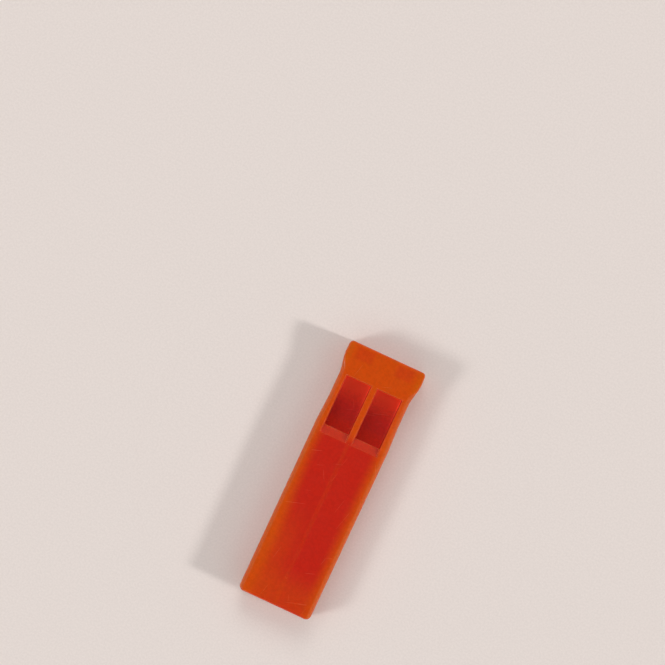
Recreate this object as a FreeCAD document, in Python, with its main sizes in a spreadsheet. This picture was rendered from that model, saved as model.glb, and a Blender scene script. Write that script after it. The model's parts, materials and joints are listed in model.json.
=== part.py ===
import FreeCAD, Part
import os
import re

import Sketcher

# A flat, pea-less safety whistle with two sound chambers side by side.
# +Y runs along the whistle towards the mouthpiece, +Z out of the face with the windows.
# The origin is under the middle of the whistle, on the surface that it lies on.

OUTPUT_FOLDER = "parts"
OVERSHOOT = 1.0        # how far a cut runs past the face that it opens
TOUCH = 1e-4           # how close two coordinates are when they count as the same

# Driving dimensions in millimetres: alias, value, what it is.
SIZES = [
    ("overall_length", 72.0, "tail face to mouth face"),
    ("body_height", 9.0, "underside to top face"),
    ("tail_width", 20.45, "outside, at the tail"),
    ("shoulder_width", 20.72, "outside, behind the windows, where the sleeve is widest"),
    ("waist_width", 20.05, "outside, beside the windows"),
    ("lip_width", 21.95, "outside, at the back of the mouth lip"),
    ("mouth_width", 21.6, "outside, at the mouth face"),
    ("shoulder_y", 13.0, "where the waist starts"),
    ("waist_rear_y", 19.8, "where the waist is fully in"),
    ("waist_front_y", 27.4, "where the lip starts to flare"),
    ("lip_y", 32.2, "where the lip is fully out"),
    ("tail_corner_radius", 1.3, "tail corners in plan"),
    ("mouth_corner_radius", 1.0, "mouth corners in plan"),
    ("flare_radius", 10.0, "blend in plan at each end of the flare"),
    ("shoulder_radius", 20.0, "blend in plan at each end of the waist"),
    ("long_edge_radius", 1.2, "rounding along the sleeve's long edges"),
    ("end_edge_radius", 0.4, "rounding round the two ends and the lip"),
    ("parting_height", 7.2, "underside to the ridge where the two mould halves met"),
    ("parting_thickness", 0.2, "height of that ridge"),
    ("parting_ridge", 0.07, "how far that ridge stands out of each side"),
    ("floor_thickness", 1.5, "wall under the chambers"),
    ("chamber_height", 6.0, "inside height of a chamber"),
    ("chamber_width", 7.15, "inside width of a chamber and of its window"),
    ("rib_width", 1.8, "wall between the two chambers, and the rib between the windows"),
    ("chamber_corner_radius", 0.4, "long inside corners along the chamber floors"),
    ("window_front_y", 26.95, "edge of the windows on the mouth side"),
    ("labium_y", 12.85, "sharp edge that the jet of air strikes"),
    ("labium_thickness", 0.2, "height of that edge"),
    ("ramp_end_y", 10.6, "where the sloping ramp behind the labium reaches the top face"),
    ("window_edge_radius", 0.35, "rounding of the windows' upper edges"),
    ("mouth_bore_height", 6.5, "inside height of the mouthpiece"),
    ("inlet_floor_y", 31.8, "depth at which the two mouth inlets end"),
    ("inlet_span", 19.2, "inside width of the mouthpiece at the mouth face"),
    ("mouth_rim_radius", 0.3, "rounding of the mouth opening's inner rim"),
    ("windway_height", 1.0, "height of the two slots that shape the jet of air"),
    ("windway_lead_radius", 0.7, "rounding where the air turns up into the slots"),
    ("nose_width", 5.0, "bridge between the two mouth inlets"),
    ("nose_tip_y", 35.2, "front of the bridge"),
    ("nose_tip_radius", 1.2, "rounding of the bridge's front edges"),
    ("tail_socket_depth", 7.9, "depth of the pocket that takes the plug"),
    ("tail_rim_radius", 0.15, "rounding of that pocket's rim"),
    ("plug_recess", 0.3, "how far the plug's face lies inside the tail face"),
    ("plug_edge_radius", 0.25, "rounding round the plug's outer face"),
    ("left_stopper_length", 3.0, "how far the plug reaches into the left chamber"),
    ("right_stopper_length", 6.5, "how far it reaches into the right one, for the higher note"),
    ("stopper_clearance", 0.1, "gap round each stopper"),
    ("stopper_edge_radius", 0.6, "rounding of the stoppers' long and end edges"),
    ("lanyard_radius", 1.75, "cross hole for a cord, through casing and plug"),
    ("lanyard_y", -32.0, "place of that hole along the whistle"),
    ("lanyard_chamfer", 0.3, "chamfer at each end of that hole"),
    ("sink_line_radius", 3.0, "roundness of the shallow sink line over the divider"),
    ("sink_line_depth", 0.05, "depth of the sink line"),
    ("gate_radius", 0.45, "gate marks: under the tail, and on the plug"),
    ("gate_depth", 0.12, "depth of the gate marks"),
    ("ejector_radius", 1.6, "ejector marks on the underside"),
    ("ejector_depth", 0.12, "depth of the ejector marks"),
    ("ejector_x", 5.6, "ejector marks' distance from the middle"),
    ("ejector_y", 24.0, "ejector marks' distance from the middle, along the whistle"),
]

doc = FreeCAD.newDocument("safety_whistle")


def make_sheet():
    """Writes the driving dimensions into a spreadsheet and returns it."""
    sheet = doc.addObject("Spreadsheet::Sheet", "Sizes")
    for row, (alias, value, meaning) in enumerate(SIZES, start=1):
        sheet.set(f"A{row}", alias)
        sheet.set(f"B{row}", str(value))
        sheet.set(f"C{row}", meaning)
        sheet.setAlias(f"B{row}", alias)
    doc.recompute()
    return sheet


sizes = make_sheet()


def bind(formula):
    """Puts the sheet's name before each alias in a formula, which is how FreeCAD reads it."""
    return re.sub(r"[a-z]\w*", lambda alias: f"Sizes.{alias.group()}", formula)


def origin_plane(body, role):
    """One of a body's own three origin planes."""
    return next(plane for plane in body.Origin.OriginFeatures if plane.Role == role)


def new_body(label):
    body = doc.addObject("PartDesign::Body", label)
    body.Label = label
    return body


def new_sketch(body, name, role, offset):
    """An empty sketch on an origin plane of the body, or moved along the plane's normal by a formula."""
    sketch = body.newObject("Sketcher::SketchObject", name)
    sketch.AttachmentSupport = [(origin_plane(body, role), "")]
    sketch.MapMode = "FlatFace"
    if offset:
        sketch.setExpression(".AttachmentOffset.Base.z", bind(offset))
    return sketch


def drive(sketch, kind, indices, name, formula):
    """Adds a named dimension to a sketch and binds it to the sheet."""
    constraint = sketch.addConstraint(Sketcher.Constraint(kind, *indices, 1.0))
    sketch.renameConstraint(constraint, name)
    sketch.setExpression(f"Constraints.{name}", bind(formula))


def polygon_sketch(body, name, role, corners, offset=None):
    """A closed polygon: each corner has formulas for across and along, and a radius's alias if round."""
    sketch = new_sketch(body, name, role, offset)
    count = len(corners)
    seeds = [FreeCAD.Vector(index, index * index, 0) for index in range(count)]
    for index in range(count):
        following = (index + 1) % count
        sketch.addGeometry(Part.LineSegment(seeds[index], seeds[following]), False)
    for index in range(count):
        sketch.addConstraint(Sketcher.Constraint("Coincident", index, 2, (index + 1) % count, 1))
    for index, corner in enumerate(corners):
        drive(sketch, "DistanceX", (-1, 1, index, 1), f"corner_{index}_across", corner[0])
        drive(sketch, "DistanceY", (-1, 1, index, 1), f"corner_{index}_along", corner[1])
    doc.recompute()
    for index, corner in enumerate(corners):
        if len(corner) > 2:
            round_corner(sketch, index, corner[2])
    return sketch


def round_corner(sketch, index, radius):
    """Puts a tangent arc in place of a polygon's corner, and binds its radius to the sheet."""
    arc = sketch.GeometryCount
    sketch.fillet(index, 1, getattr(sizes, radius), True, True)
    drive(sketch, "Radius", (arc,), f"corner_{index}_radius", radius)
    doc.recompute()


def circle_sketch(body, name, role, circles, offset=None):
    """Circles given as formulas for centre and radius."""
    sketch = new_sketch(body, name, role, offset)
    for index, (across, along, radius) in enumerate(circles):
        seed = Part.Circle(FreeCAD.Vector(index, index, 0), FreeCAD.Vector(0, 0, 1), 1.0)
        sketch.addGeometry(seed, False)
        drive(sketch, "DistanceX", (-1, 1, index, 3), f"centre_{index}_across", across)
        drive(sketch, "DistanceY", (-1, 1, index, 3), f"centre_{index}_along", along)
        drive(sketch, "Radius", (index,), f"radius_{index}", radius)
    return sketch


def rectangle(low_across, low_along, high_across, high_along):
    """The four corners of an upright rectangle, as formulas."""
    return [
        (low_across, low_along),
        (high_across, low_along),
        (high_across, high_along),
        (low_across, high_along),
    ]


def solid_feature(body, kind, name, sketch, length, symmetric=False, backwards=False):
    """A Pad or a Pocket. It stops the script when the feature leaves the body as it was."""
    before = measure(body)
    feature = body.newObject(f"PartDesign::{kind}", name)
    feature.Profile = sketch
    feature.SideType = "Symmetric" if symmetric else "One side"
    feature.Reversed = backwards
    feature.setExpression("Length", bind(length))
    doc.recompute()
    check_change(body, name, before)
    return feature


def mirror(body, name, features):
    """Repeats features on the other side of the whistle's middle plane."""
    before = measure(body)
    mirrored = body.newObject("PartDesign::Mirrored", name)
    mirrored.Originals = features
    mirrored.MirrorPlane = (origin_plane(body, "YZ_Plane"), [""])
    body.Tip = mirrored
    doc.recompute()
    check_change(body, name, before)


def dress(body, kind, name, size_property, formula, chosen):
    """A Fillet or Chamfer on the edges of the body's last feature that chosen accepts."""
    before = measure(body)
    base = body.Tip
    names = [f"Edge{number}" for number, edge in enumerate(base.Shape.Edges, start=1) if chosen(edge)]
    if not names:
        raise RuntimeError(f"{name} found no edge")
    feature = body.newObject(f"PartDesign::{kind}", name)
    feature.Base = (base, names)
    feature.setExpression(size_property, bind(formula))
    doc.recompute()
    check_change(body, name, before)


def fillet(body, name, radius, chosen):
    dress(body, "Fillet", name, "Radius", radius, chosen)


def chamfer(body, name, size, chosen):
    dress(body, "Chamfer", name, "Size", size, chosen)


def measure(body):
    """A body's volume and its number of faces, which between them show whether a feature did its work."""
    if body.Tip is None:
        return 0.0, 0
    return body.Shape.Volume, len(body.Shape.Faces)


def check_change(body, name, before):
    """Raises when a feature left both the body's volume and its faces as they were."""
    volume, faces = measure(body)
    if abs(volume - before[0]) < TOUCH and faces == before[1]:
        raise RuntimeError(f"{name} changed nothing")


def same(first, second):
    return abs(first - second) < TOUCH


def is_vertical(edge):
    """True for a straight edge along Z."""
    box = edge.BoundBox
    return box.XLength < TOUCH and box.YLength < TOUCH


def lies_at(edge, axis, value):
    """True when every point of the edge has this coordinate along the axis."""
    box = edge.BoundBox
    low = getattr(box, f"{axis}Min")
    high = getattr(box, f"{axis}Max")
    return same(low, value) and same(high, value)


def middle(edge):
    """The point half way along an edge."""
    return edge.valueAt((edge.FirstParameter + edge.LastParameter) / 2)


# ---------------------------------------------------------------------------------------------
# Casing: the one-piece sleeve with the mouth lip, the windows and the divider between chambers
# ---------------------------------------------------------------------------------------------


def sleeve_outline(proud):
    """The sleeve's corners in plan, with both sides moved out by the formula proud."""
    right_side = [
        ("tail_width", "-overall_length / 2", "tail_corner_radius"),
        ("shoulder_width", "shoulder_y", "shoulder_radius"),
        ("waist_width", "waist_rear_y", "shoulder_radius"),
        ("waist_width", "waist_front_y", "flare_radius"),
        ("lip_width", "lip_y", "flare_radius"),
        ("mouth_width", "overall_length / 2", "mouth_corner_radius"),
    ]
    right = [(f"{width} / 2 + {proud}", along, radius) for width, along, radius in right_side]
    left = [(f"-({across})", along, radius) for across, along, radius in reversed(right)]
    return right + left


def make_blank():
    """The sleeve's outer form as a solid block with a fine parting line along its sides."""
    blank = new_body("casing_blank")
    outline = polygon_sketch(blank, "outline", "XY_Plane", sleeve_outline("0.0"))
    solid_feature(blank, "Pad", "block", outline, "body_height")
    ridge = polygon_sketch(
        blank, "parting_outline", "XY_Plane", sleeve_outline("parting_ridge"), offset="parting_height"
    )
    solid_feature(blank, "Pad", "parting_line", ridge, "parting_thickness")
    return blank


def rim_radius(point):
    """Radius of the outer rounding at a point of the rim: full along the sleeve, small at the ends."""
    flare_middle = (sizes.waist_front_y + sizes.lip_y) / 2
    at_tail_face = same(point.y, -sizes.overall_length / 2)
    if point.y > flare_middle or at_tail_face:
        return sizes.end_edge_radius
    return sizes.long_edge_radius


def round_rims(blank):
    """Rounds the upper and lower rims with a radius that runs smoothly from sleeve to ends."""
    rounded = doc.addObject("Part::Fillet", "rounded_blank")
    rounded.Base = blank
    rims = []
    for number, edge in enumerate(blank.Shape.Edges, start=1):
        if lies_at(edge, "Z", 0.0) or lies_at(edge, "Z", sizes.body_height):
            start = rim_radius(edge.valueAt(edge.FirstParameter))
            end = rim_radius(edge.valueAt(edge.LastParameter))
            rims.append((number, start, end))
    rounded.Edges = rims
    doc.recompute()
    return rounded


def cut_chambers(casing):
    """The two long chambers, side by side, with the divider left between them."""
    tail_end = "-overall_length / 2 + tail_socket_depth"
    section = polygon_sketch(
        casing, "chamber_section", "XZ_Plane",
        rectangle(
            "rib_width / 2", "floor_thickness",
            "rib_width / 2 + chamber_width", "floor_thickness + chamber_height",
        ),
        offset=f"-({tail_end})",
    )
    length = f"window_front_y - ({tail_end})"
    chamber = solid_feature(casing, "Pocket", "right_chamber", section, length)
    mirror(casing, "left_chamber", [chamber])


def cut_tail_socket(casing):
    """The pocket at the tail that takes the plug."""
    section = polygon_sketch(
        casing, "tail_socket_section", "XZ_Plane",
        rectangle(
            "-(rib_width / 2 + chamber_width)", "floor_thickness",
            "rib_width / 2 + chamber_width", "floor_thickness + chamber_height",
        ),
        offset="overall_length / 2",
    )
    solid_feature(casing, "Pocket", "tail_socket", section, "tail_socket_depth")


def cut_mouthpiece(casing):
    """The socket for the windway block, which widens into the mouth opening."""
    half_socket = "(rib_width / 2 + chamber_width)"
    plan = [
        (f"-{half_socket}", "window_front_y"),
        (half_socket, "window_front_y"),
        (half_socket, "inlet_floor_y"),
        ("inlet_span / 2", "overall_length / 2"),
        ("-inlet_span / 2", "overall_length / 2"),
        (f"-{half_socket}", "inlet_floor_y"),
    ]
    sketch = polygon_sketch(casing, "mouth_plan", "XY_Plane", plan, offset="floor_thickness")
    solid_feature(casing, "Pocket", "mouthpiece", sketch, "mouth_bore_height", backwards=True)


def cut_windows(casing):
    """The two windows with the labium and its ramp, as one profile seen from the side."""
    labium_top = "floor_thickness + chamber_height + labium_thickness"
    ramp_slope = f"((body_height - ({labium_top})) / (labium_y - ramp_end_y))"
    above = f"(body_height + {OVERSHOOT})"
    profile = [
        ("window_front_y", f"floor_thickness + chamber_height - {OVERSHOOT}"),
        ("window_front_y", above),
        (f"ramp_end_y - {OVERSHOOT} / {ramp_slope}", above),
        ("labium_y", labium_top),
        ("labium_y", f"floor_thickness + chamber_height - {OVERSHOOT}"),
    ]
    sketch = polygon_sketch(
        casing, "window_profile", "YZ_Plane", profile, offset="(rib_width + chamber_width) / 2"
    )
    window = solid_feature(casing, "Pocket", "right_window", sketch, "chamber_width", symmetric=True)
    mirror(casing, "left_window", [window])


def is_floor_corner(edge):
    """True for an edge at floor level that runs along the whistle, beside a side wall or the divider."""
    lengthwise = edge.BoundBox.YLength > edge.BoundBox.XLength
    from_middle = abs(middle(edge).x)
    near_wall = sizes.rib_width / 2
    far_wall = near_wall + sizes.chamber_width
    beside_wall = from_middle < near_wall + TOUCH or from_middle > far_wall - TOUCH
    return lies_at(edge, "Z", sizes.floor_thickness) and lengthwise and beside_wall


def is_opening_rim(edge, face_y, half_width, height):
    """True for an edge in the end face at face_y that borders an opening of this size over the floor."""
    point = middle(edge)
    inside_width = abs(point.x) < half_width + TOUCH
    inside_height = sizes.floor_thickness - TOUCH < point.z < sizes.floor_thickness + height + TOUCH
    return lies_at(edge, "Y", face_y) and inside_width and inside_height


def round_end_openings(casing):
    """Takes the sharpness off the rims of the mouth opening and of the tail's pocket."""
    mouth_face = sizes.overall_length / 2
    half_socket = sizes.rib_width / 2 + sizes.chamber_width
    fillet(
        casing, "mouth_rim", "mouth_rim_radius",
        lambda edge: is_opening_rim(edge, mouth_face, sizes.inlet_span / 2, sizes.mouth_bore_height),
    )
    fillet(
        casing, "tail_rim", "tail_rim_radius",
        lambda edge: is_opening_rim(edge, -mouth_face, half_socket, sizes.chamber_height),
    )


def round_window_edges(casing):
    """Takes the sharpness off the windows' upper edges."""
    fillet(
        casing, "window_edges", "window_edge_radius",
        lambda edge: lies_at(edge, "Z", sizes.body_height)
        and middle(edge).y > sizes.ramp_end_y + TOUCH
        and middle(edge).y < sizes.window_front_y + TOUCH
        and abs(middle(edge).x) < sizes.rib_width / 2 + sizes.chamber_width + TOUCH,
    )


def cut_lanyard_hole(body, name):
    """The cross hole for a cord."""
    sketch = circle_sketch(
        body, f"{name}_centre", "YZ_Plane", [("lanyard_y", "body_height / 2", "lanyard_radius")]
    )
    solid_feature(body, "Pocket", name, sketch, "2 * lip_width", symmetric=True)


def chamfer_lanyard_hole(casing):
    """Chamfers the two outer ends of the cross hole."""
    half_inside = sizes.rib_width / 2 + sizes.chamber_width
    chamfer(
        casing, "lanyard_chamfers", "lanyard_chamfer",
        lambda edge: abs(middle(edge).x) > half_inside + TOUCH
        and same(edge.BoundBox.ZLength, 2 * sizes.lanyard_radius)
        and same(edge.BoundBox.YLength, 2 * sizes.lanyard_radius),
    )


def cut_surface_marks(casing):
    """Moulding marks: the sink line over the divider, and the gate and the ejectors on the underside."""
    tail_end = "-overall_length / 2 + tail_socket_depth"
    line = circle_sketch(
        casing, "sink_line_section", "XZ_Plane",
        [("0.0", "body_height + sink_line_radius - sink_line_depth", "sink_line_radius")],
        offset=f"-({tail_end})",
    )
    solid_feature(casing, "Pocket", "sink_line", line, f"ramp_end_y - ({tail_end})")

    gate = circle_sketch(casing, "gate_centre", "XY_Plane", [("0.0", tail_end, "gate_radius")])
    solid_feature(casing, "Pocket", "gate_mark", gate, "gate_depth", backwards=True)

    places = [(f"{x_sign}ejector_x", f"{y_sign}ejector_y") for x_sign in ("", "-") for y_sign in ("", "-")]
    ejectors = circle_sketch(
        casing, "ejector_centres", "XY_Plane", [(across, along, "ejector_radius") for across, along in places]
    )
    solid_feature(casing, "Pocket", "ejector_marks", ejectors, "ejector_depth", backwards=True)


def make_casing():
    blank = make_blank()
    casing = new_body("casing")
    casing.BaseFeature = round_rims(blank)
    doc.recompute()
    cut_chambers(casing)
    cut_tail_socket(casing)
    cut_mouthpiece(casing)
    cut_windows(casing)
    fillet(casing, "floor_corners", "chamber_corner_radius", is_floor_corner)
    round_end_openings(casing)
    round_window_edges(casing)
    cut_lanyard_hole(casing, "lanyard_hole")
    chamfer_lanyard_hole(casing)
    cut_surface_marks(casing)
    return casing


# ---------------------------------------------------------------------------------------------
# Windway block: fills the mouthpiece and leaves a thin slot over itself for each chamber
# ---------------------------------------------------------------------------------------------


def make_windway_block():
    block = new_body("windway_block")
    half_socket = "(rib_width / 2 + chamber_width)"
    plan = [
        (f"-{half_socket}", "window_front_y"),
        (half_socket, "window_front_y"),
        (half_socket, "inlet_floor_y"),
        ("nose_width / 2", "inlet_floor_y"),
        ("nose_width / 2", "nose_tip_y"),
        ("-nose_width / 2", "nose_tip_y"),
        ("-nose_width / 2", "inlet_floor_y"),
        (f"-{half_socket}", "inlet_floor_y"),
    ]
    outline = polygon_sketch(block, "outline", "XY_Plane", plan, offset="floor_thickness")
    solid_feature(block, "Pad", "block", outline, "mouth_bore_height")

    channel_plan = [
        ("rib_width / 2", "window_front_y"),
        (half_socket, "window_front_y"),
        (half_socket, "inlet_floor_y"),
        ("nose_width / 2", "inlet_floor_y"),
    ]
    channel_sketch = polygon_sketch(
        block, "windway_plan", "XY_Plane", channel_plan, offset="floor_thickness + mouth_bore_height"
    )
    channel = solid_feature(block, "Pocket", "right_windway", channel_sketch, "windway_height")
    mirror(block, "left_windway", [channel])

    windway_floor = sizes.floor_thickness + sizes.mouth_bore_height - sizes.windway_height
    fillet(
        block, "windway_leads", "windway_lead_radius",
        lambda edge: lies_at(edge, "Z", windway_floor) and lies_at(edge, "Y", sizes.inlet_floor_y),
    )
    fillet(
        block, "nose_tip", "nose_tip_radius",
        lambda edge: is_vertical(edge) and same(middle(edge).y, sizes.nose_tip_y),
    )
    fillet(block, "block_floor_corners", "chamber_corner_radius", is_floor_corner)
    return block


# ---------------------------------------------------------------------------------------------
# End plug: closes the tail, and its two stoppers give the chambers different lengths
# ---------------------------------------------------------------------------------------------


def add_stopper(plug, name, near_x, far_x, length):
    """One stopper: a block that stands on the plug's inner face, from near_x to far_x."""
    section = polygon_sketch(
        plug, f"{name}_section", "XZ_Plane",
        rectangle(
            near_x, "floor_thickness + stopper_clearance",
            far_x, "floor_thickness + chamber_height - stopper_clearance",
        ),
        offset="overall_length / 2 - tail_socket_depth",
    )
    solid_feature(plug, "Pad", name, section, length, backwards=True)


def make_end_plug():
    plug = new_body("end_plug")
    half_socket = "(rib_width / 2 + chamber_width)"
    section = polygon_sketch(
        plug, "base_section", "XZ_Plane",
        rectangle(
            f"-{half_socket}", "floor_thickness",
            half_socket, "floor_thickness + chamber_height",
        ),
        offset="overall_length / 2 - plug_recess",
    )
    solid_feature(plug, "Pad", "base", section, "tail_socket_depth - plug_recess", backwards=True)

    near = "(rib_width / 2 + stopper_clearance)"
    far = "(rib_width / 2 + chamber_width - stopper_clearance)"
    add_stopper(plug, "left_stopper", f"-{far}", f"-{near}", "left_stopper_length")
    add_stopper(plug, "right_stopper", near, far, "right_stopper_length")

    inner_face_y = -sizes.overall_length / 2 + sizes.tail_socket_depth
    fillet(
        plug, "stopper_edges", "stopper_edge_radius",
        lambda edge: middle(edge).y > inner_face_y + TOUCH,
    )
    fillet(plug, "plug_floor_corners", "chamber_corner_radius", is_floor_corner)
    outer_face_y = -sizes.overall_length / 2 + sizes.plug_recess
    fillet(plug, "plug_face_edges", "plug_edge_radius", lambda edge: lies_at(edge, "Y", outer_face_y))
    cut_lanyard_hole(plug, "lanyard_hole_in_plug")
    gate = circle_sketch(
        plug, "plug_gate_centre", "XZ_Plane", [("0.0", "body_height / 2", "gate_radius")],
        offset="overall_length / 2 - plug_recess",
    )
    solid_feature(plug, "Pocket", "plug_gate_mark", gate, "gate_depth")
    return plug


def check_document():
    """Stops the script if any object of the document failed to compute."""
    for item in doc.Objects:
        if "Invalid" in item.State or "Error" in item.State:
            raise RuntimeError(f"{item.Label} failed: {item.State}")


def export(nodes):
    """Writes each sub-part to a STEP file of its own, once all of them are sound."""
    for node in nodes:
        if node.Shape.isNull() or not node.Shape.isValid():
            raise RuntimeError(f"{node.Label} has no valid shape")
    os.makedirs(OUTPUT_FOLDER, exist_ok=True)
    for node in nodes:
        node.Shape.exportStep(os.path.join(OUTPUT_FOLDER, f"{node.Label}.step"))
        box = node.Shape.optimalBoundingBox()
        print(node.Label, len(node.Shape.Solids), "solid", round(node.Shape.Volume, 1), "mm3", box)


sub_parts = [make_casing(), make_windway_block(), make_end_plug()]
doc.recompute()
check_document()
export(sub_parts)
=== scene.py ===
"""Looks for the safety whistle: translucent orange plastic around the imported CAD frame, in metres."""
import json
import math

import bpy
from mathutils import Matrix, Vector


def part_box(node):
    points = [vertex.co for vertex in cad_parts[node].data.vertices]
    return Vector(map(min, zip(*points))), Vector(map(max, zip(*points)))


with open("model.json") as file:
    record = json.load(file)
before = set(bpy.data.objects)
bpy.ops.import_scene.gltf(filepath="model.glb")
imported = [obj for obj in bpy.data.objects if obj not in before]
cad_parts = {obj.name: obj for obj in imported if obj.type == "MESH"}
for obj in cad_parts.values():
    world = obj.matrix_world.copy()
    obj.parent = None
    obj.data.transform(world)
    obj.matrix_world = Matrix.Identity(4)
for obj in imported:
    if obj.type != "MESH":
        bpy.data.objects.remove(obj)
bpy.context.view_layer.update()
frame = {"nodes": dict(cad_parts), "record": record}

MM = 0.001

# ---------------------------------------------------------------------------------------------
# Places read from the frame, with a few lengths of the CAD that the frame doesn't state
# ---------------------------------------------------------------------------------------------

openings = {
    opening["name"]: (Vector(opening["box_m"][0]), Vector(opening["box_m"][1]))
    for opening in frame["record"]["physics"]["openings"]
}
casing_low, casing_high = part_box("casing")
block_low, block_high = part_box("windway_block")

OPENING_INSET = 0.13 * MM                       # how far a stated opening stays off the wall beside it
RAMP_REACH = 2.3 * MM                           # from the stated window's rear to the ramp's end
SOCKET_DEPTH = 7.9 * MM
MOUTH_WALL = 1.35 * MM                          # in from the lip's side, where the mouth's look ends

TOP = casing_high.z
TAIL = casing_low.y
MOUTH = casing_high.y
HALF_WIDTH = casing_high.x
HALF_HOLLOW = block_high.x                      # outer wall of the chambers and windows
WINDOW_FRONT = block_low.y
WINDOW_REAR = openings["right_window"][0].y
INLET_FLOOR = openings["right_inlet"][0].y
INLET_NEAR = openings["right_inlet"][0].x       # side of the bridge between the inlets
CHAMBER_FLOOR = openings["right_chamber"][0].z
CHAMBER_ROOF = openings["right_chamber"][1].z
HALF_RIB = openings["right_window"][0].x - OPENING_INSET
RAMP_END = WINDOW_REAR - RAMP_REACH             # where the ramp behind each window reaches the top face
SOCKET_END = TAIL + SOCKET_DEPTH                # where the chambers' look gives way to the solid tail's

# ---------------------------------------------------------------------------------------------
# Node-tree helpers
# ---------------------------------------------------------------------------------------------


def linear(red, green, blue):
    """An sRGB colour in 0..255, as the linear RGBA that shader sockets take."""
    def channel(value):
        value /= 255.0
        return value / 12.92 if value <= 0.04045 else ((value + 0.055) / 1.055) ** 2.4
    return (channel(red), channel(green), channel(blue), 1.0)


class Graph:
    """Builds one material's node tree. Its methods take sockets or numbers, and most return a socket."""

    def __init__(self, name):
        self.material = bpy.data.materials.new(name)
        self.material.use_nodes = True
        self.tree = self.material.node_tree
        self.tree.nodes.clear()
        self.output = self.tree.nodes.new("ShaderNodeOutputMaterial")
        place = self.tree.nodes.new("ShaderNodeTexCoord")
        self.place = place.outputs["Object"]
        split = self.tree.nodes.new("ShaderNodeSeparateXYZ")
        self.tree.links.new(self.place, split.inputs[0])
        self.x, self.y, self.z = split.outputs

    def feed(self, socket, value):
        if isinstance(value, bpy.types.NodeSocket):
            self.tree.links.new(value, socket)
        else:
            socket.default_value = value

    def math(self, operation, *values):
        node = self.tree.nodes.new("ShaderNodeMath")
        node.operation = operation
        for socket, value in zip(node.inputs, values):
            self.feed(socket, value)
        return node.outputs[0]

    def product(self, first, *others):
        for other in others:
            first = self.math("MULTIPLY", first, other)
        return first

    def ramp(self, value, start, end, low=0.0, high=1.0):
        """Goes smoothly from low to high as value goes from start to end."""
        node = self.tree.nodes.new("ShaderNodeMapRange")
        node.interpolation_type = "SMOOTHSTEP"
        self.feed(node.inputs["Value"], value)
        self.feed(node.inputs["From Min"], start)
        self.feed(node.inputs["From Max"], end)
        self.feed(node.inputs["To Min"], low)
        self.feed(node.inputs["To Max"], high)
        return node.outputs["Result"]

    def band(self, value, start, end, blur):
        """1 between start and end, 0 outside, with a blurred edge."""
        rising = self.ramp(value, start - blur / 2, start + blur / 2)
        falling = self.ramp(value, end - blur / 2, end + blur / 2, 1.0, 0.0)
        return self.product(rising, falling)

    def mix(self, share, first, second, blend="MIX"):
        node = self.tree.nodes.new("ShaderNodeMix")
        node.data_type = "RGBA"
        node.blend_type = blend
        self.feed(node.inputs["Factor"], share)
        self.feed(node.inputs[6], first)
        self.feed(node.inputs[7], second)
        return node.outputs[2]

    def noise(self, scale, detail=2.0, roughness=0.5, stretch=(1.0, 1.0, 1.0), turn=(0.0, 0.0, 0.0)):
        """Noise in 0..1 with features about 1/scale metres across, stretched along turned axes."""
        mapping = self.tree.nodes.new("ShaderNodeMapping")
        mapping.vector_type = "TEXTURE"
        self.feed(mapping.inputs["Vector"], self.place)
        mapping.inputs["Rotation"].default_value = turn
        mapping.inputs["Scale"].default_value = stretch
        node = self.tree.nodes.new("ShaderNodeTexNoise")
        self.feed(node.inputs["Vector"], mapping.outputs[0])
        node.inputs["Scale"].default_value = scale
        node.inputs["Detail"].default_value = detail
        node.inputs["Roughness"].default_value = roughness
        return node.outputs[0]

    def bump(self, height, distance, strength=1.0, normal=None):
        node = self.tree.nodes.new("ShaderNodeBump")
        self.feed(node.inputs["Height"], height)
        node.inputs["Distance"].default_value = distance
        node.inputs["Strength"].default_value = strength
        if normal is not None:
            self.feed(node.inputs["Normal"], normal)
        return node.outputs[0]

    def sharp_edges(self, reach, flat=0.985, sharp=0.88):
        """1 on sharp edges, fading to 0 within reach, by how well the rounded and true normals agree."""
        bevel = self.tree.nodes.new("ShaderNodeBevel")
        bevel.samples = 6
        bevel.inputs["Radius"].default_value = reach
        geometry = self.tree.nodes.new("ShaderNodeNewGeometry")
        dot = self.tree.nodes.new("ShaderNodeVectorMath")
        dot.operation = "DOT_PRODUCT"
        self.tree.links.new(bevel.outputs[0], dot.inputs[0])
        self.tree.links.new(geometry.outputs["Normal"], dot.inputs[1])
        return self.ramp(dot.outputs["Value"], flat, sharp)

    def principled(self, **inputs):
        node = self.tree.nodes.new("ShaderNodeBsdfPrincipled")
        for name, value in inputs.items():
            self.feed(node.inputs[name.replace("_", " ")], value)
        self.tree.links.new(node.outputs[0], self.output.inputs["Surface"])


# ---------------------------------------------------------------------------------------------
# Plastic
# ---------------------------------------------------------------------------------------------

RED_OVER_HOLLOW = linear(194, 36, 21)
ORANGE_SOLID = linear(205, 75, 9)
# The next colour is painted light on the rounded long edges, over the solid plastic's own orange.
LIT_EDGE_ORANGE = linear(202, 86, 8)
DEEP_ORANGE = linear(212, 58, 8)
LIT_RAMP = linear(201, 42, 0)
# Painted light and shade inside the chambers: lit near the windway block, dimmer further back and on the
# walls.
INSIDE_LIT = linear(253, 84, 52)
INSIDE_REAR = linear(236, 60, 40)
INSIDE_DIM = linear(214, 52, 42)
INSIDE_WALL = linear(216, 48, 18)
PALE_WEAR_AND_SHEEN = linear(232, 128, 62)

# How orange, or how red, each place is against the rest of the casing.
# Painted light: the next two make the casing's left side more orange towards the tail.
LEFT_LIGHT_LEAN = 1.5 * MM               # how far the left side's orange leans in over the top at the tail
LEFT_LIGHT_SHARE = 0.35
TAIL_SHARE = 0.4
INLET_SHARE = 0.3
SIDE_SHARE = 0.5
DIVIDER_SHARE = 0.13
LIT_RIM_SHARE = 0.9

# Emission strengths, in place of the light that comes through the walls.
GLOW_REACH = 13.0 * MM             # how far behind the windway block the chambers' floors brighten
FLOOR_GLOW = (0.05, 0.17)          # at the rear of that reach, and at the block
WALL_GLOW_SHARE = 0.08             # of the floors' glow
MOUTH_GLOW = 0.07

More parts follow.
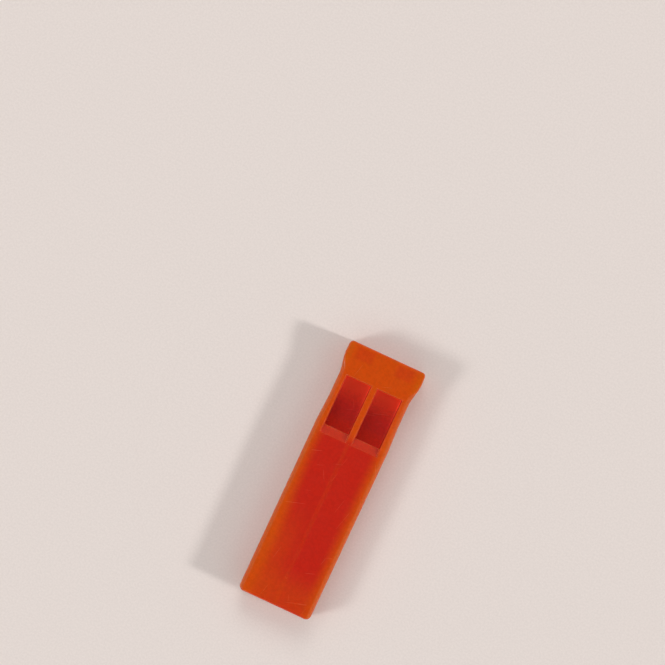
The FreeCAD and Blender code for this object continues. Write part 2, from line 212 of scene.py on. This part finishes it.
MOTTLE = (0.93, 1.04)              # darkest and palest, as shares of the plastic's colour
ROUGHNESS = (0.17, 0.27)
WEAR_AND_SHEEN_REACH = 0.4 * MM
SCRATCH_SHARE = 0.10               # of the pale wear colour in a scratch
WORN_ROUGHNESS = 0.10              # added on scratches and worn edges


def inverse(g, mask):
    return g.math("SUBTRACT", 1.0, mask)


def outside_colour(g):
    """The casing's outside: orange where the plastic is solid, redder over the hollows, with painted light on
    the left towards the tail and on the rounded long edges.
    """
    across = g.math("ABSOLUTE", g.x)
    # Painted light on the left: towards the tail, the orange of the left side wall leans further in over the
    # top, and the top's left side turns more orange.
    left = g.ramp(g.x, 1.0 * MM, -5.0 * MM)
    light_lean = g.product(left, g.ramp(g.y, 8.0 * MM, TAIL + 12.0 * MM, 0.0, LEFT_LIGHT_LEAN))
    solid_side = g.ramp(g.math("ADD", across, light_lean), HALF_HOLLOW - 1.8 * MM, HALF_HOLLOW + 2.0 * MM)
    left_light = g.product(left, g.ramp(g.y, SOCKET_END + 22.0 * MM, SOCKET_END + 6.0 * MM, 0.0, LEFT_LIGHT_SHARE))
    solid_tail = g.ramp(g.y, SOCKET_END + 4.0 * MM, SOCKET_END - 4.0 * MM, 0.0, TAIL_SHARE)
    mouthpiece = g.ramp(g.y, WINDOW_FRONT - 0.2 * MM, WINDOW_FRONT + 0.6 * MM)
    rib = g.product(
        g.ramp(g.y, RAMP_END - 0.8 * MM, WINDOW_REAR + 1.2 * MM),
        g.ramp(g.z, CHAMBER_ROOF, TOP - 0.1 * MM),
    )
    hollow = inverse(g, solid_side)
    # The painted light on the left thins the red here along with the solid parts.
    for solid in (left_light, solid_tail, mouthpiece, rib):
        hollow = g.product(hollow, inverse(g, solid))
    beside_chamber = g.product(
        g.ramp(across, HALF_HOLLOW + 1.0 * MM, HALF_HOLLOW + 1.6 * MM),
        g.band(g.z, CHAMBER_FLOOR, CHAMBER_ROOF, 2.0 * MM),
        g.band(g.y, SOCKET_END, WINDOW_FRONT, 5.0 * MM),
    )
    over_inlet = g.product(
        g.band(across, INLET_NEAR + 0.8 * MM, HALF_HOLLOW, 1.5 * MM),
        g.ramp(g.y, INLET_FLOOR - 0.3 * MM, INLET_FLOOR + 0.5 * MM, 0.0, INLET_SHARE),
        g.ramp(g.y, MOUTH - 1.2 * MM, MOUTH - 0.4 * MM, 1.0, 0.0),
    )
    beside_chamber = g.product(beside_chamber, SIDE_SHARE)
    redness = g.math("MAXIMUM", hollow, g.math("MAXIMUM", over_inlet, beside_chamber))
    divider = g.product(
        g.ramp(across, 0.2 * MM, 0.9 * MM, DIVIDER_SHARE, 0.0),
        g.ramp(g.y, RAMP_END, RAMP_END - 0.5 * MM),
    )
    redness = g.math("SUBTRACT", redness, divider)
    colour = g.mix(redness, ORANGE_SOLID, RED_OVER_HOLLOW)
    # Painted light: the rounded long edges, top and bottom, are paler orange where they catch the light.
    rim = g.product(
        g.ramp(across, HALF_HOLLOW + 0.5 * MM, HALF_WIDTH - 1.0 * MM, 0.0, LIT_RIM_SHARE),
        inverse(g, g.band(g.z, 1.0 * MM, TOP - 1.0 * MM, 1.0 * MM)),
    )
    return g.mix(rim, colour, LIT_EDGE_ORANGE)


def within_chambers(g):
    """1 on surfaces between the chambers' outer walls, 0 on the casing's sides."""
    across = g.math("ABSOLUTE", g.x)
    return g.ramp(across, HALF_HOLLOW + 0.05 * MM, HALF_HOLLOW + 0.2 * MM, 1.0, 0.0)


def inside_mask(g):
    """1 on what is seen down through the windows."""
    return g.product(
        within_chambers(g),
        g.band(g.y, SOCKET_END, WINDOW_FRONT + 0.1 * MM, 0.1 * MM),
        g.ramp(g.z, CHAMBER_FLOOR - 0.6 * MM, CHAMBER_FLOOR - 0.3 * MM),
        g.ramp(g.z, CHAMBER_ROOF - 0.4 * MM, CHAMBER_ROOF + 0.8 * MM, 1.0, 0.0),
    )


def chamber_walls(g):
    """1 on the chambers' walls, 0 on their floors."""
    return g.ramp(g.z, CHAMBER_FLOOR + 0.3 * MM, CHAMBER_FLOOR + 1.2 * MM)


def mouth_mask(g):
    """1 on the walls of the mouth opening, behind its rim."""
    inlet_span = HALF_WIDTH - MOUTH_WALL
    return g.product(
        g.ramp(g.math("ABSOLUTE", g.x), inlet_span, inlet_span + 0.1 * MM, 1.0, 0.0),
        g.band(g.y, WINDOW_FRONT + 0.2 * MM, MOUTH - 0.3 * MM, 0.4 * MM),
        g.band(g.z, CHAMBER_FLOOR - 0.3 * MM, TOP - 0.9 * MM, 0.2 * MM),
    )


def glow(g):
    """Emission strength inside: most on the chambers' floors, little on their walls, some in the mouth."""
    floor_glow = g.ramp(g.y, WINDOW_FRONT - GLOW_REACH, WINDOW_FRONT, *FLOOR_GLOW)
    wall_share = g.ramp(chamber_walls(g), 0.0, 1.0, 1.0, WALL_GLOW_SHARE)
    chamber_glow = g.product(inside_mask(g), floor_glow, wall_share)
    return g.math("ADD", chamber_glow, g.product(mouth_mask(g), MOUTH_GLOW))


def add_inside(g, colour):
    """Painted light and shade down through the windows: a brighter, clearer red than the outside, lit near
    the windway block, dimmer further back.
    """
    past_labium = g.ramp(g.y, WINDOW_REAR + 1.0 * MM, WINDOW_REAR + 4.5 * MM)
    near_block = g.ramp(g.y, WINDOW_FRONT - 8.0 * MM, WINDOW_FRONT - 1.0 * MM)
    inside_colour = g.mix(past_labium, INSIDE_REAR, INSIDE_DIM)
    inside_colour = g.mix(near_block, inside_colour, INSIDE_LIT)
    inside_colour = g.mix(chamber_walls(g), inside_colour, INSIDE_WALL)
    return g.mix(inside_mask(g), colour, inside_colour)


def add_mouth_inside(g, colour):
    """The mouth opening's walls are a deeper orange."""
    return g.mix(mouth_mask(g), colour, DEEP_ORANGE)


def add_ramps(g, colour):
    """The ramps behind the windows are a clearer, brighter orange-red: partly the thin plastic there, partly
    painted light.
    """
    ramps = g.product(
        within_chambers(g),
        g.ramp(g.math("ABSOLUTE", g.x), HALF_RIB - 0.05 * MM, HALF_RIB + 0.05 * MM),
        g.band(g.y, RAMP_END, WINDOW_REAR, 0.2 * MM),
        g.band(g.z, CHAMBER_ROOF, TOP - 0.03 * MM, 0.05 * MM),
    )
    return g.mix(ramps, colour, LIT_RAMP)


def scratches(g):
    """1 on a few hair-thin handling scratches, in three directions."""
    lines = [
        g.ramp(g.noise(4000.0, 0.0, stretch=(1.0, 30.0, 30.0), turn=turn), 0.82, 0.87)
        for turn in ((0.2, 0.0, 0.5), (0.0, 0.6, 1.9), (0.5, 0.2, 2.9))
    ]
    return g.math("MAXIMUM", lines[0], g.math("MAXIMUM", lines[1], lines[2]))


def finish_plastic(g, colour):
    """Fine mottle, paler edges (partly wear, partly painted highlight), scratches and the moulded grain, over
    a plastic's colour.
    """
    mottle = g.noise(1500.0, 3.0, 0.6)
    colour = g.mix(1.0, colour, g.ramp(mottle, 0.35, 0.65, *MOTTLE), "MULTIPLY")
    # Sharp edges paler: partly real wear, partly a painted highlight along the edges.
    wear_and_sheen = g.product(g.sharp_edges(WEAR_AND_SHEEN_REACH), g.ramp(g.noise(1200.0, 3.0), 0.35, 0.65, 0.3, 0.8))
    colour = g.mix(wear_and_sheen, colour, PALE_WEAR_AND_SHEEN)
    scratched = scratches(g)
    colour = g.mix(g.product(scratched, SCRATCH_SHARE), colour, PALE_WEAR_AND_SHEEN)
    normal = g.bump(g.noise(6000.0, 2.0), 0.005 * MM)
    normal = g.bump(g.noise(900.0, 1.0), 0.010 * MM, 1.0, normal)
    roughness = g.ramp(g.noise(350.0, 4.0, 0.6), 0.3, 0.7, *ROUGHNESS)
    worn = g.math("MAXIMUM", scratched, wear_and_sheen)
    roughness = g.math("ADD", roughness, g.product(worn, WORN_ROUGHNESS))
    g.principled(
        Base_Color=colour,
        Roughness=roughness,
        Normal=normal,
        IOR=1.5,
        Specular_IOR_Level=0.45,
        Subsurface_Weight=0.35,
        Subsurface_Radius=(1.0, 0.25, 0.08),
        Subsurface_Scale=1.5 * MM,
        Emission_Color=colour,
        Emission_Strength=glow(g),
    )
    return g.material


def casing_plastic():
    g = Graph("casing_plastic")
    colour = add_mouth_inside(g, add_ramps(g, add_inside(g, outside_colour(g))))
    return finish_plastic(g, colour)


def insert_plastic():
    """The windway block and the plug: the same plastic, in solid pieces."""
    g = Graph("insert_plastic")
    clouds = g.ramp(g.noise(120.0, 1.0), 0.3, 0.7, 0.3, 0.6)
    return finish_plastic(g, add_inside(g, g.mix(clouds, ORANGE_SOLID, DEEP_ORANGE)))


def dress(node, material):
    slots = frame["nodes"][node].data.materials
    slots.clear()
    slots.append(material)


dress("casing", casing_plastic())
inserts = insert_plastic()
dress("windway_block", inserts)
dress("end_plug", inserts)

# ---------------------------------------------------------------------------------------------
# Stage: floor, lights and camera
# ---------------------------------------------------------------------------------------------

TURN = math.radians(25.0)          # how far the whistle's axis is turned clockwise in the picture
VIEW_WIDTH = 175.0 * MM            # what the picture is wide, at the height of the whistle's top face
CAMERA_DISTANCE = 0.75             # metres above the whistle's top face
AIM_RIGHT = 0.33                   # millimetres from the origin to the picture's centre
AIM_UP = 39.05
FLOOR_REACH = 20.0                 # metres, so that its edge is lost in the horizon
FLOOR_SHADES = (linear(224, 213, 207), linear(230, 219, 213))
HORIZON = (0.73, 0.66, 0.62)       # the lit floor's own colour, so that floor and room run together
# The room's light by height, from above the horizon at 0 to straight up at 1.
ROOM_SHADES = [
    (0.10, (0.62, 0.58, 0.55)),
    (0.30, (0.30, 0.30, 0.30)),
    (0.50, (0.36, 0.36, 0.36)),
    (0.70, (0.74, 0.74, 0.74)),
    (0.85, (0.62, 0.62, 0.62)),
    (0.96, (0.04, 0.04, 0.04)),
]
PICTURE_UP = Vector((-math.sin(TURN), math.cos(TURN), 0.0))
PICTURE_RIGHT = Vector((math.cos(TURN), math.sin(TURN), 0.0))


def make_floor():
    mesh = bpy.data.meshes.new("floor")
    corners = [(x * FLOOR_REACH, y * FLOOR_REACH, 0.0) for x, y in ((-1, -1), (1, -1), (1, 1), (-1, 1))]
    mesh.from_pydata(corners, [], [(0, 1, 2, 3)])
    floor = bpy.data.objects.new("floor", mesh)
    bpy.context.scene.collection.objects.link(floor)
    g = Graph("pale_floor")
    paper = g.noise(1800.0, 3.0, 0.6)
    g.principled(
        Base_Color=g.mix(g.ramp(paper, 0.3, 0.7), *FLOOR_SHADES),
        Roughness=0.6,
        Normal=g.bump(paper, 0.01 * MM),
    )
    mesh.materials.append(g.material)


def distant_light(name, direction, spread, strength, shines=True):
    """A far light, spread degrees wide as seen from the whistle. One that doesn't shine has no glint."""
    data = bpy.data.lights.new(name, "SUN")
    data.angle = math.radians(spread)
    data.energy = strength
    light = bpy.data.objects.new(name, data)
    light.rotation_mode = "QUATERNION"
    light.rotation_quaternion = Vector(direction).to_track_quat("Z", "Y")
    light.visible_glossy = shines
    bpy.context.scene.collection.objects.link(light)


def make_camera():
    data = bpy.data.cameras.new("camera")
    data.sensor_width = 36.0
    data.lens = data.sensor_width * CAMERA_DISTANCE / VIEW_WIDTH
    camera = bpy.data.objects.new("camera", data)
    centre = PICTURE_RIGHT * AIM_RIGHT * MM + PICTURE_UP * AIM_UP * MM
    camera.location = centre + Vector((0.0, 0.0, TOP + CAMERA_DISTANCE))
    camera.rotation_mode = "QUATERNION"
    camera.rotation_quaternion = Matrix((
        PICTURE_RIGHT, PICTURE_UP, Vector((0.0, 0.0, 1.0)),
    )).transposed().to_quaternion()
    bpy.context.scene.collection.objects.link(camera)
    bpy.context.scene.camera = camera


def make_world():
    """A pale room: the floor's own colour at the horizon, and darker straight above, where a camera hangs."""
    world = bpy.data.worlds.new("studio")
    world.use_nodes = True
    tree = world.node_tree
    place = tree.nodes.new("ShaderNodeTexCoord")
    split = tree.nodes.new("ShaderNodeSeparateXYZ")
    tree.links.new(place.outputs["Generated"], split.inputs[0])
    shades = tree.nodes.new("ShaderNodeValToRGB")
    shades.color_ramp.interpolation = "EASE"
    tree.links.new(split.outputs["Z"], shades.inputs["Fac"])
    stops = shades.color_ramp.elements
    stops.remove(stops[-1])
    stops[0].color = (*HORIZON, 1.0)
    for height, colour in ROOM_SHADES:
        stops.new(height).color = (*colour, 1.0)
    tree.links.new(shades.outputs["Color"], tree.nodes["Background"].inputs["Color"])
    bpy.context.scene.world = world


make_world()
make_floor()
distant_light("key", (0.86, 0.05, 0.50), spread=7.0, strength=1.45, shines=False)
distant_light("fill", (-0.62, -0.50, 0.60), spread=15.0, strength=0.95)
distant_light("front", (-0.20, 0.66, 0.72), spread=30.0, strength=0.58, shines=False)
make_camera()
bpy.context.scene.view_settings.view_transform = "Standard"
